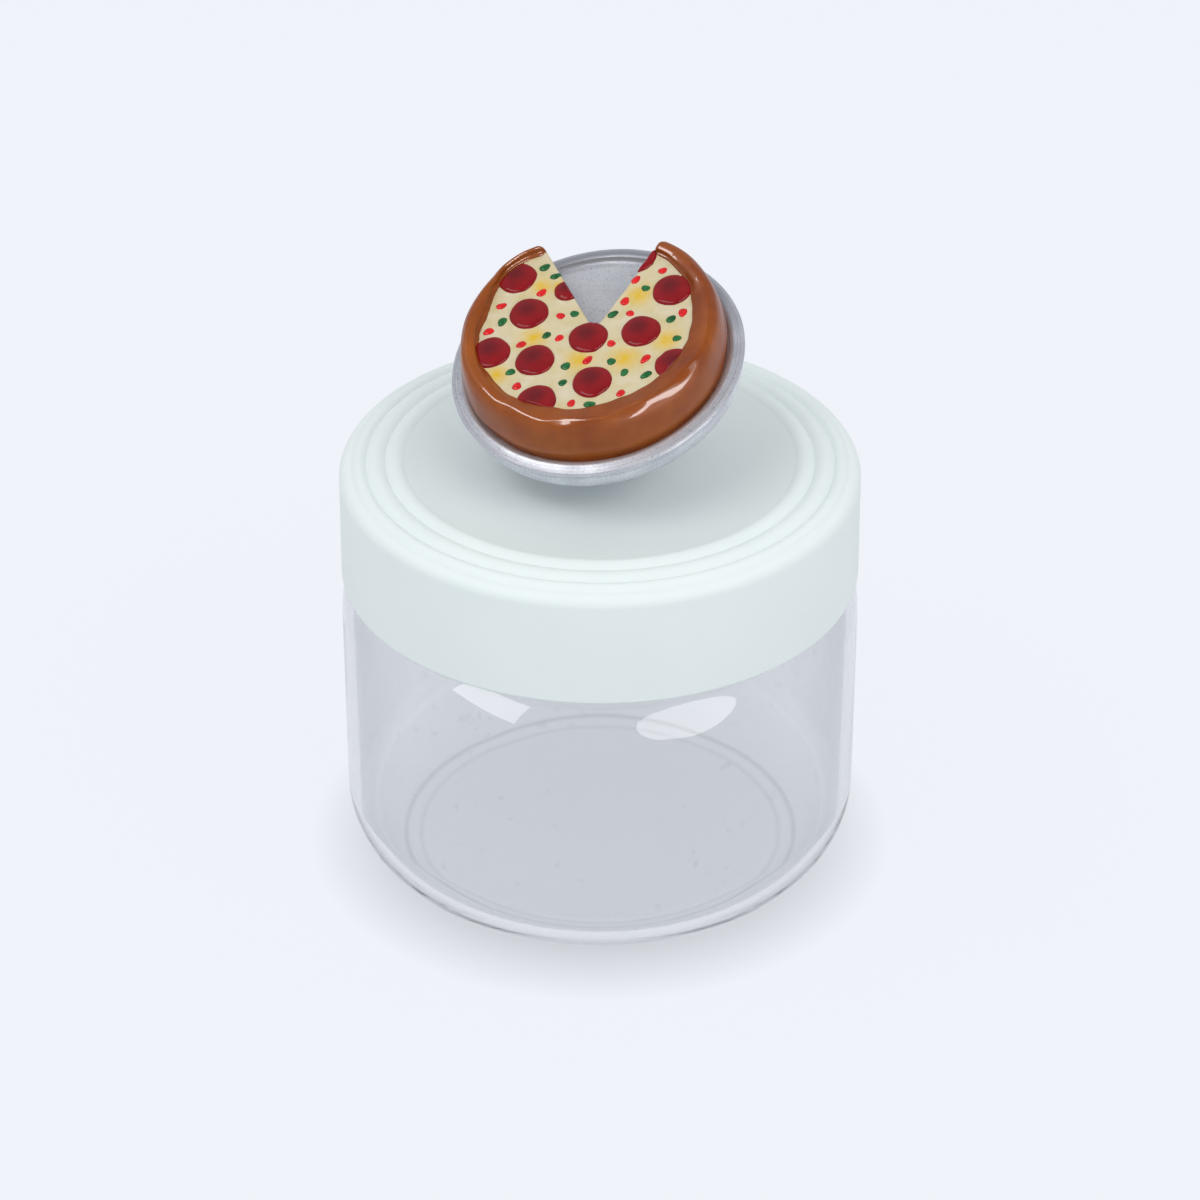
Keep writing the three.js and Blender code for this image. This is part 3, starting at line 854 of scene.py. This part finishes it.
def makePan():
    inner = panRadius - pan["rimWidth"]
    floor = panDepth - pan["floorDrop"]
    widest = panDepth - pan["rimRoll"]
    side = panRadius - pan["sideInset"]
    curve = pan["sideCurve"]
    edge = panDepth - pan["rimFall"]
    crown = inner + pan["rimWidth"] * pan["crownShare"]
    under = widest - pan["rimUnder"]
    rim = smoothLine([  # from the side over the rim's crown to the floor
        (side, under),
        (panRadius - 0.12 * mm, edge - 0.6 * mm),
        (panRadius, edge - 0.28 * mm),
        (panRadius - 0.22 * mm, edge),
        (panRadius - 0.8 * mm, edge + 0.32 * mm),
        (crown + 0.5 * mm, panDepth - 0.08 * mm),
        (crown, panDepth),
        (inner + 0.3 * mm, panDepth - 0.2 * mm),
        (inner, panDepth - 0.55 * mm),
        (inner - 0.6 * mm, floor + 0.28 * mm),
        (inner - 1.8 * mm, floor + 0.06 * mm),
        (inner - 2.8 * mm, floor),
    ], pan["steps"])
    outline = [(0, 0)] + arcPoints((side - curve, under), curve, under, -90, 0, pan["curveSteps"])
    outline += rim[1:] + [(0, floor)]
    piece = revolved("pizzaPan", outline, pan["sides"], 60)
    paintPlace(piece)
    placeOnPan(piece, silverPaint, "silver_paint", "pizza_pan")


makePost()
makePan()
print("post and pan are made")


# pizza: sizes taken from the solids, seen in the pan's own frame
crustLow, crustHigh = levelBox("pizza_crust", panFrame)
cheeseLow, cheeseHigh = levelBox("pizza_cheese", panFrame)
crustRadius = max(crustHigh.x, -crustLow.x)
cheeseTop = cheeseHigh.z
pizzaFoot = cheeseLow.z
cheeseRadius = (cheeseHigh.x - cheeseLow.x) / 2
cheeseMiddle = Vector(((cheeseLow.x + cheeseHigh.x) / 2, cheeseLow.y + cheeseRadius))
cut = {"tip": Vector((0.9 * mm, 0)), "right": 55.5, "left": 111}  # missing slice, degrees from +X

crust = {
    "steps": 480,
    "foot": 24.9 * mm,
    "bulge": 2.6 * mm,  # widest level, above the rim
    "crestDrop": 0.35 * mm,  # mean crest under the highest point
    "crest": 23.3 * mm,  # radius of the crest line
    "side": 0.16 * mm,  # mean side inside the widest point
    "creaseSpan": (212, 350),  # degrees where the crest is pinched into a crease
    "creaseFade": 25,
    "endRound": 1.5 * mm,
    "endTaper": 0.5,
    "endSteps": 8,
    "skinSteps": 5,  # between two points of the section's line
    "crestWaves": ((5, 0.12 * mm, 0.9), (12, 0.12 * mm, 2.4), (19, 0.04 * mm, 0.3)),
    "creaseWaves": ((12, 0.36 * mm, 0.94), (23, 0.12 * mm, 2.2)),
    "lapWaves": ((17, 0.08 * mm, 1.7), (29, 0.05 * mm, 4.4)),
    "lapBumps": (  # degrees, height and half width
        (126, 0.85 * mm, 13), (157, -0.95 * mm, 14), (190, 0.25 * mm, 9), (221, 0.4 * mm, 8),
        (262, 0.4 * mm, 7), (307, 0.25 * mm, 7), (1, -0.3 * mm, 12),
    ),
    "sideWaves": ((4, 0.12 * mm, 5.2), (9, 0.08 * mm, 1.1), (15, 0.04 * mm, 3.7)),
    "light": tone(158, 84, 15),
    "mid": tone(130, 58, 7),
    "deep": tone(98, 40, 3),
    "cloudScale": 110,
    "cloudFrom": (0.32, 0.68),
    "cloudDepth": 0.6,
    "streakScale": 420,
    "streakDepth": 0.25,
    # painted shade at the foot and along the cheese, with darker pools of enamel
    "shadeDepth": 0.6,
    "shadeShares": (0.2, 0.3, 0.35),  # at the foot, along the cheese, in pools
    "poolScale": 160,
    # lighter low on the side, and painted light on the crest to the left
    "glowDepth": 0.6,
    "glowShares": (0.9, 0.35),  # low on the side, on the crest to the left
}


# paint under a clear glossy coat
def enamel(name, rough, shine, coat, coatRough):
    settings = {"Roughness": rough, "IOR": 1.5, "Specular IOR Level": shine}
    settings.update({"Coat Weight": coat, "Coat Roughness": coatRough, "Coat IOR": 1.5})
    return newFinish(name, settings)


def crustFinish():
    finish, tree, shader = enamel("crustEnamel", rough=0.42, shine=0.1, coat=0.45, coatRough=0.04)
    cloud = grain(tree, crust["cloudScale"], 3)
    streak = grain(tree, crust["streakScale"], 3, (1, 1, 0.25))
    clouds = rangeOf(tree, cloud, *crust["cloudFrom"], 0, crust["cloudDepth"])
    streaks = rangeOf(tree, streak, *grainPeaks, 0, crust["streakDepth"])
    # painted shade at the foot and along the cheese, and enamel pools
    shade = times(tree, painted(tree, "shade"), crust["shadeDepth"])
    # painted light on the left crest, and lighter low on the side
    glow = times(tree, painted(tree, "glow"), crust["glowDepth"])
    body = crust["mid"]
    for marks, colour in ((clouds, "light"), (streaks, "deep"), (shade, "deep"), (glow, "light")):
        body = mixColours(tree, marks, body, crust[colour])
    setColour(tree, shader, body)
    addBump(tree, shader, mathOf(tree, "ADD", cloud, streak), 0.06, 0.12 * mm)
    return finish


# from the pan's middle to the cheese's edge, which is round another middle
def cheeseReach(angle, extra):
    return circleReach(Vector((0, 0)), headingOf(angle), cheeseMiddle, cheeseRadius + extra)


# angle at which a side of the missing slice meets a circle round the pan's middle
def cutMeets(direction, radius):
    heading = headingOf(radians(direction))
    end = cut["tip"] + heading * circleReach(cut["tip"], heading, Vector((0, 0)), radius)
    return atan2(end.y, end.x)


def crustSection(angle, scale):
    inside = cheeseReach(angle, seat)
    inside += waveSum(angle, crust["lapWaves"]) + bumpSum(angle, crust["lapBumps"])
    outside = crustRadius - crust["side"] + waveSum(angle, crust["sideWaves"])
    start, end = crust["creaseSpan"]
    turn = degrees(angle) % 360
    fade = crust["creaseFade"]
    pinch = smoothStep(turn, start, start + fade) * (1 - smoothStep(turn, end - fade, end))
    evenCrest = max(crust["crest"], inside + 0.9 * mm)
    crest = evenCrest + pinch * waveSum(angle, crust["creaseWaves"])
    evenTop = crustHigh.z - crust["crestDrop"]
    top = evenTop + waveSum(angle, crust["crestWaves"])
    loose = 1 - pinch
    bulge = panDepth + crust["bulge"]
    foot = crust["foot"]
    slope = max(crest - (0.9 + 0.5 * loose) * mm, inside + 0.6 * mm)
    skin = smoothLine([  # from the cheese over the crest and the side to the pan
        (inside, cheeseTop - 0.4 * mm),
        (inside + 0.04 * mm, cheeseTop + 0.25 * mm),
        (inside + 0.5 * mm, cheeseTop + 0.62 * mm),
        (slope, top - (0.22 + 0.1 * loose) * mm),
        (crest, top),
        (crest + (outside - crest) * 0.3, (top + evenTop) / 2 - 0.4 * mm),
        (evenCrest + (outside - evenCrest) * 0.58, evenTop - 1.15 * mm),
        (outside - 0.42 * mm, evenTop - 2.6 * mm),
        (outside - 0.08 * mm, bulge + 1.9 * mm),
        (outside, bulge),
        (outside - 0.3 * mm, bulge - 1.5 * mm),
        (foot, panDepth - 0.1 * mm),
    ], crust["skinSteps"])
    section = [(inside + 0.2 * mm, pizzaFoot)] + skin + [(foot, pizzaFoot)]
    middle = (pizzaFoot + top) / 2
    ring = []
    for radius, level in section:
        reach = crest + (radius - crest) * scale
        height = middle + (level - middle) * scale
        ring.append((reach * cos(angle), reach * sin(angle), height))
    return ring


# 0 at the pan's rim, 1 at the highest point
def crustHeight(spot):
    return (spot.z - panDepth) / (crustHigh.z - panDepth)


# painted shade at the foot and along the cheese, and darker where the enamel pools
def crustShadeAndPools(spot):
    foot, inner, pools = crust["shadeShares"]
    lap = spot.xy.length - cheeseReach(atan2(spot.y, spot.x), 0)
    pool = noise.noise(Vector((spot.x, spot.y, spot.z * 2)) * crust["poolScale"]) * 0.5 + 0.3
    shade = foot * (1 - smoothStep(crustHeight(spot), 0.0, 0.1))
    shade += inner * (1 - smoothStep(lap, 0.2 * mm, 1.1 * mm))
    return min(1, max(0, shade + pools * pool))


# lighter low on the side, and painted light on the crest to the left
def crustGlow(spot):
    onSide, onCrest = crust["glowShares"]
    height = crustHeight(spot)
    low = smoothStep(height, 0.02, 0.12) * (1 - smoothStep(height, 0.16, 0.42))
    left = smoothStep(-spot.x, 2 * mm, 20 * mm) * smoothStep(height, 0.7, 0.95)
    return min(1, onSide * low + onCrest * left)


def makeCrust():
    middleRadius = (cheeseRadius + crustRadius) / 2
    start = cutMeets(cut["left"], middleRadius)
    end = cutMeets(cut["right"], middleRadius) + tau
    endTurn = crust["endRound"] / middleRadius
    endSteps = crust["endSteps"]
    stops = []
    for step in range(endSteps):
        bend = pi / 2 * step / endSteps
        stops.append((endTurn * (1 - cos(bend)), 1 - crust["endTaper"] * (1 - sin(bend))))
    sections = [crustSection(start + turn, scale) for turn, scale in stops]
    for step in range(crust["steps"] + 1):
        share = step / crust["steps"]
        sections.append(crustSection(start + endTurn + (end - start - 2 * endTurn) * share, 1))
    sections += [crustSection(end - turn, scale) for turn, scale in reversed(stops)]
    size = len(sections[0])
    points = [point for section in sections for point in section]
    faces = [tuple(range(size)), tuple(range(len(points) - size, len(points)))]
    for row in range(len(sections) - 1):
        for point in range(size):
            after = (point + 1) % size
            low = row * size
            faces.append((low + point, low + after, low + size + after, low + size + point))
    piece = newPiece("pizzaCrust", points, faces, 55)
    paint(piece, "shade", crustShadeAndPools)
    paint(piece, "glow", crustGlow)
    placeOnPan(piece, crustFinish(), "crust_enamel", "pizza_crust")
    addCards(crustCards, piece)


makeCrust()
print("crust is made")


# pepperoni: share of the cheese's radius from its middle, and degrees from +X
pepperoni = {
    "spots": (
        (0.93, 131.7), (0.47, 109.2), (0.57, 155.6), (0.9, 191), (0.59, 215.9), (0.96, 240.3),
        (0.17, 277), (0.71, 273.2), (0.54, 339.5), (0.85, 17.2), (0.88, 55.1), (1.03, 320.9),
    ),
    "radius": 3.85 * mm,
    "small": {1: 2.6 * mm},  # radius of the second slice
    "sides": 72,
    "rings": 16,
    "edge": 0.42 * mm,
    "edgeRound": 0.55 * mm,
    "dome": 0.5 * mm,
    "sink": 0.5 * mm,
    "tuck": 1 * mm,  # under the crust
    "lap": 1.6 * mm,  # how far the middle slice laps over the tip of the cut
    "grid": 10,  # steps from a slice's middle to its edge, to find what is left of it
    "trimSteps": 18,
    "edgeWaves": ((3, 0.018, 1), (5, 0.012, 2.3)),
    "sliceShadeAt": Vector((-0.06, 0.2)),  # painted shade, a little behind each slice's middle, in shares of the radius
    "sliceShadeSpread": (0.1, 0.8),
    "sliceShadeDepth": 0.8,
    "cloudScale": 520,
    "red": tone(126, 5, 15),
    "bright": tone(140, 7, 18),
    # colour of the painted shade on each slice
    "dark": tone(84, 5, 14),
}
# pepper bits: millimetres in the pan's frame, and turn in degrees
bitForm = {
    "sides": 20,
    "rings": 5,
    "long": 1 * mm,
    "short": 0.82 * mm,
    "rise": 0.36 * mm,
    "sink": 0.4 * mm,
    "uneven": 0.16,  # in length and height, from bit to bit
    "edgeWaves": ((2, 0.1, 1.9), (3, 0.06, 1)),
    "cloudScale": 900,
}
redBits = {
    "name": "redPepper",
    "colour": tone(226, 24, 28),
    "deep": tone(184, 12, 18),
    "spots": (
        (-8.8, 11.4, 25), (-16.6, 9.6, 15), (-5.3, 4.8, 20), (-19.2, 3.6, 5), (-5.7, -0.7, 30),
        (-13.0, -0.9, 35), (-14.1, -11.2, 40), (-3.9, -17.4, 40), (-0.5, -7.4, 55), (4.1, -4.1, 10),
        (5.5, -16.8, 15), (10.5, -9.2, 50), (8.0, 2.7, 20), (7.1, 6.0, 40), (9.4, 11.0, 50),
        (14.6, 12.3, 55), (18.0, 0.9, 60),
    ),
}
greenBits = {
    "name": "greenPepper",
    "colour": tone(36, 116, 60),
    "deep": tone(14, 76, 34),
    "spots": (
        (-8.0, 17.8, 10), (-6.0, 15.1, 15), (-2.6, 4.8, 20), (-16.5, 5.6, 40), (-8.1, 0.5, 30),
        (-15.2, -7.4, 35), (-4.7, -8.0, 20), (-5.4, -12.0, 15), (-0.5, -18.4, 5), (4.0, -8.6, 30),
        (6.4, -11.8, 40), (10.5, -13.2, 30), (16.6, -5.3, 70), (15.7, -0.3, 20), (4.7, 3.2, 25),
        (11.2, 8.5, 20),
    ),
}


slices = []  # middle and radius of each
for index, (share, turn) in enumerate(pepperoni["spots"]):
    middle = cheeseMiddle + share * (cheeseRadius + seat) * headingOf(radians(turn))
    slices.append((middle, pepperoni["small"].get(index, pepperoni["radius"])))
bitSpots = [Vector(spot[:2]) * mm for spot in redBits["spots"] + greenBits["spots"]]


# how far a point of the cheese lies from the missing slice; negative inside the gap
def clearOfCut(spot, lap=0.0):
    right = headingOf(radians(cut["right"]))
    left = headingOf(radians(cut["left"]))
    middle = headingOf(radians((cut["left"] + cut["right"]) / 2))
    away = spot - cut["tip"] - lap * middle
    return max(away.cross(right), left.cross(away))


cheese = {
    "turns": 420,
    "rings": 90,
    "tuck": 0.9 * mm,  # under the crust
    "edge": 0.5 * mm,  # rounding along the cut
    "edgeDrop": 0.3 * mm,
    "lumps": 0.09 * mm,
    "lumpScales": (330, 800),
    "meniscus": 0.16 * mm,  # rise round each topping
    "meniscusWidth": 0.4 * mm,
    "bitEdge": 0.9 * mm,  # where the rise round a bit is highest
    "bitMeniscus": (0.08 * mm, 0.3 * mm),  # height and width
    "cloudScale": 320,
    "fineScale": 1500,
    "cream": tone(198, 184, 139),
    "pale": tone(206, 196, 170),
    "yellow": tone(212, 173, 3),
    "sprayDepth": (0.7, 1.05),
    "sprays": (
        (-10.6, 0.4, 2.6), (-2.1, -7.0, 2.8), (6.6, -8.3, 3.0), (14.6, -5.3, 2.6), (9.8, 7.0, 2.8),
        (-17.9, -7.5, 2.4), (-8.6, 13.0, 2.2), (-5.3, 12.3, 1.8),
    ),
}


def cheeseRelief(spot):
    wide, fine = cheese["lumpScales"]
    lumps = noise.noise(Vector((spot.x, spot.y, 0)) * wide)
    lumps += 0.6 * noise.noise(Vector((spot.x, spot.y, 0.01)) * fine)
    rise = cheese["lumps"] * lumps
    for middle, radius in slices:
        gap = (spot - middle).length - radius
        if abs(gap) < 1.5 * mm:
            rise += cheese["meniscus"] * exp(-((gap - 0.1 * mm) / cheese["meniscusWidth"]) ** 2)
    height, width = cheese["bitMeniscus"]
    for middle in bitSpots:
        gap = (spot - middle).length - cheese["bitEdge"]
        if abs(gap) < 1 * mm:
            rise += height * exp(-(gap / width) ** 2)
    edge = max(0, 1 - clearOfCut(spot) / cheese["edge"])
    return rise - cheese["edgeDrop"] * (1 - sqrt(max(0, 1 - edge * edge)))


def cheeseSpray(spot):
    glow = 0
    for x, y, size in cheese["sprays"]:
        away = (spot.xy - Vector((x * mm, y * mm))).length / (size * mm)
        glow = max(glow, exp(-1.2 * away * away))
    return glow


def cheeseFinish():
    finish, tree, shader = enamel("cheeseEnamel", rough=0.45, shine=0.15, coat=0.5, coatRough=0.05)
    cloud = grain(tree, cheese["cloudScale"], 4)
    fine = grain(tree, cheese["fineScale"], 3)
    cream = mixColours(tree, rangeOf(tree, cloud, *grainSpread), cheese["cream"], cheese["pale"])
    speckled = rangeOf(tree, fine, *grainSpread, *cheese["sprayDepth"])
    spray = times(tree, painted(tree, "spray"), speckled)
    setColour(tree, shader, mixColours(tree, spray, cream, cheese["yellow"]))
    relief = mathOf(tree, "ADD", cloud, times(tree, fine, 0.3))
    addBump(tree, shader, relief, 0.25, 0.1 * mm)
    return finish


def makeCheese():
    start = radians(cut["left"])
    span = radians(cut["right"] + 360) - start
    tip = cut["tip"]
    reach = cheeseRadius + cheese["tuck"]
    points = [(tip.x, tip.y, cheeseTop - cheese["edgeDrop"])]
    rings = cheese["rings"]
    turns = cheese["turns"]
    for turn in range(turns + 1):
        share = turn / turns
        share -= 0.06 * sin(tau * share) / tau  # closer rows beside the cut
        heading = headingOf(start + span * share)
        edge = circleReach(tip, heading, cheeseMiddle, reach)
        for ring in range(1, rings + 1):
            spot = tip + heading * edge * ring / rings
            points.append((spot.x, spot.y, cheeseTop + cheeseRelief(spot)))
        points.append((spot.x, spot.y, pizzaFoot))
    foot = len(points)
    points.append((tip.x, tip.y, pizzaFoot))
    row = rings + 1
    faces = []
    for turn in range(turns):
        first = 1 + turn * row
        second = first + row
        faces.append((0, first, second))
        for ring in range(rings):
            faces.append((first + ring, first + ring + 1, second + ring + 1, second + ring))
        faces.append((first + rings, foot, second + rings))
    last = 1 + turns * row
    faces.append((0, foot) + tuple(range(1 + rings, 0, -1)))
    faces.append((0,) + tuple(range(last, last + rings + 1)) + (foot,))
    piece = newPiece("pizzaCheese", points, faces, 60)
    paint(piece, "spray", cheeseSpray)
    placeOnPan(piece, cheeseFinish(), "cheese_enamel", "pizza_cheese")


makeCheese()
print("cheese is made")


def pepperoniFinish():
    finish, tree, shader = enamel("pepperoniEnamel", rough=0.4, shine=0.1, coat=0.6, coatRough=0.02)
    cloud = grain(tree, pepperoni["cloudScale"], 3)
    red = mixColours(tree, rangeOf(tree, cloud, *grainSpread), pepperoni["red"], pepperoni["bright"])
    # painted shade darkens the red behind each slice's middle
    sliceShade = times(tree, painted(tree, "sliceShade"), rangeOf(tree, cloud, 0.2, 0.8, 0.75, 1.0))
    setColour(tree, shader, mixColours(tree, sliceShade, red, pepperoni["dark"]))
    addBump(tree, shader, cloud, 0.12, 0.1 * mm)
    return finish


# distance from a point inside a slice to its trimmed edge, along a heading
def sliceReach(origin, heading, middle, radius, lap):
    reach = circleReach(origin, heading, middle, radius)
    reach = min(reach, circleReach(origin, heading, cheeseMiddle, cheeseRadius + pepperoni["tuck"]))
    if clearOfCut(origin + heading * reach, lap) < 0:
        near, far = 0.0, reach
        for step in range(pepperoni["trimSteps"]):
            half = (near + far) / 2
            if clearOfCut(origin + heading * half, lap) < 0:
                far = half
            else:
                near = half
        reach = near
    return reach


# middle of what is left of a trimmed slice
def sliceOrigin(middle, radius, lap):
    inside = []
    grid = pepperoni["grid"]
    for row in range(-grid, grid + 1):
        for column in range(-grid, grid + 1):
            spot = middle + Vector((column, row)) * radius / grid
            kept = (spot - middle).length < radius and (spot - cheeseMiddle).length < cheeseRadius
            if kept and clearOfCut(spot, lap) > 0:
                inside.append(spot)
    return sum(inside, Vector((0, 0))) / len(inside)


def makeSlice(index, finish):
    middle, radius = slices[index]
    overTip = (middle - cut["tip"]).length < radius
    lap = pepperoni["lap"] if overTip else 0.0
    origin = sliceOrigin(middle, radius, lap)
    sides = pepperoni["sides"]
    rings = pepperoni["rings"]
    points = [(origin.x, origin.y, cheeseTop + pepperoni["edge"] + pepperoni["dome"])]
    for side in range(sides):
        angle = tau * side / sides
        heading = headingOf(angle)
        edge = radius * unevenEdge(angle, pepperoni["edgeWaves"], index)
        reach = sliceReach(origin, heading, middle, edge, lap)
        for ring in range(1, rings + 1):
            share = (ring / rings) ** 0.8
            spot = origin + heading * reach * share
            out = max(0, 1 - (reach * (1 - share)) / pepperoni["edgeRound"])
            level = pepperoni["edge"] * sqrt(max(0, 1 - out * out))
            fall = min(1, ((spot - middle).length / radius) ** 2)
            level += pepperoni["dome"] * (1 - fall) * (1 - 0.5 * out)
            points.append((spot.x, spot.y, cheeseTop + level))
        points.append((spot.x, spot.y, cheeseTop - pepperoni["sink"]))
    piece = newPiece("pepperoniSlice%02d" % (index + 1), points, domeFaces(0, sides, rings), 60)
    # painted shade, darkest a little behind the slice's middle
    sliceShadeMiddle = middle + pepperoni["sliceShadeAt"] * radius

    def sliceShade(spot):
        away = (spot.xy - sliceShadeMiddle).length / radius
        return pepperoni["sliceShadeDepth"] * (1 - smoothStep(away, *pepperoni["sliceShadeSpread"]))

    paint(piece, "sliceShade", sliceShade)
    placeOnPan(piece, finish, "pepperoni_enamel", "pepperoni_%02d" % (index + 1))


def makeBits(bits):
    points = []
    faces = []
    sides = bitForm["sides"]
    rings = bitForm["rings"]
    for index, (x, y, turn) in enumerate(bits["spots"]):
        grow = 1 + bitForm["uneven"] * sin(2.4 * index + 0.7)
        long = bitForm["long"] * grow
        rise = bitForm["rise"] * grow
        faces += domeFaces(len(points), sides, rings)
        points.append((x * mm, y * mm, cheeseTop + rise))
        for side in range(sides):
            angle = tau * side / sides
            wobble = unevenEdge(angle, bitForm["edgeWaves"], index)
            across = wobble * Vector((long * cos(angle), bitForm["short"] * sin(angle)))
            across.rotate(Matrix.Rotation(radians(turn), 2))
            for ring in range(1, rings + 1):
                share = sin(pi / 2 * ring / rings)
                level = rise * cos(pi / 2 * ring / rings) ** 0.8
                points.append((x * mm + across.x * share, y * mm + across.y * share, cheeseTop + level))
            points.append((x * mm + across.x, y * mm + across.y, cheeseTop - bitForm["sink"]))
    piece = newPiece(bits["name"] + "Bits", points, faces, 60)
    name = bits["name"] + "Enamel"
    finish, tree, shader = enamel(name, rough=0.4, shine=0.1, coat=0.8, coatRough=0.04)
    cloud = grain(tree, bitForm["cloudScale"], 3)
    colour = mixColours(tree, rangeOf(tree, cloud, *grainSpread), bits["colour"], bits["deep"])
    setColour(tree, shader, colour)
    addBump(tree, shader, cloud, 0.15, 0.1 * mm)
    piece.data.transform(panFrame)
    piece.data.materials.append(finish)
    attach(piece, "lid")


sliceFinish = pepperoniFinish()
for index in range(len(slices)):
    makeSlice(index, sliceFinish)
makeBits(redBits)
makeBits(greenBits)
print("toppings are made")
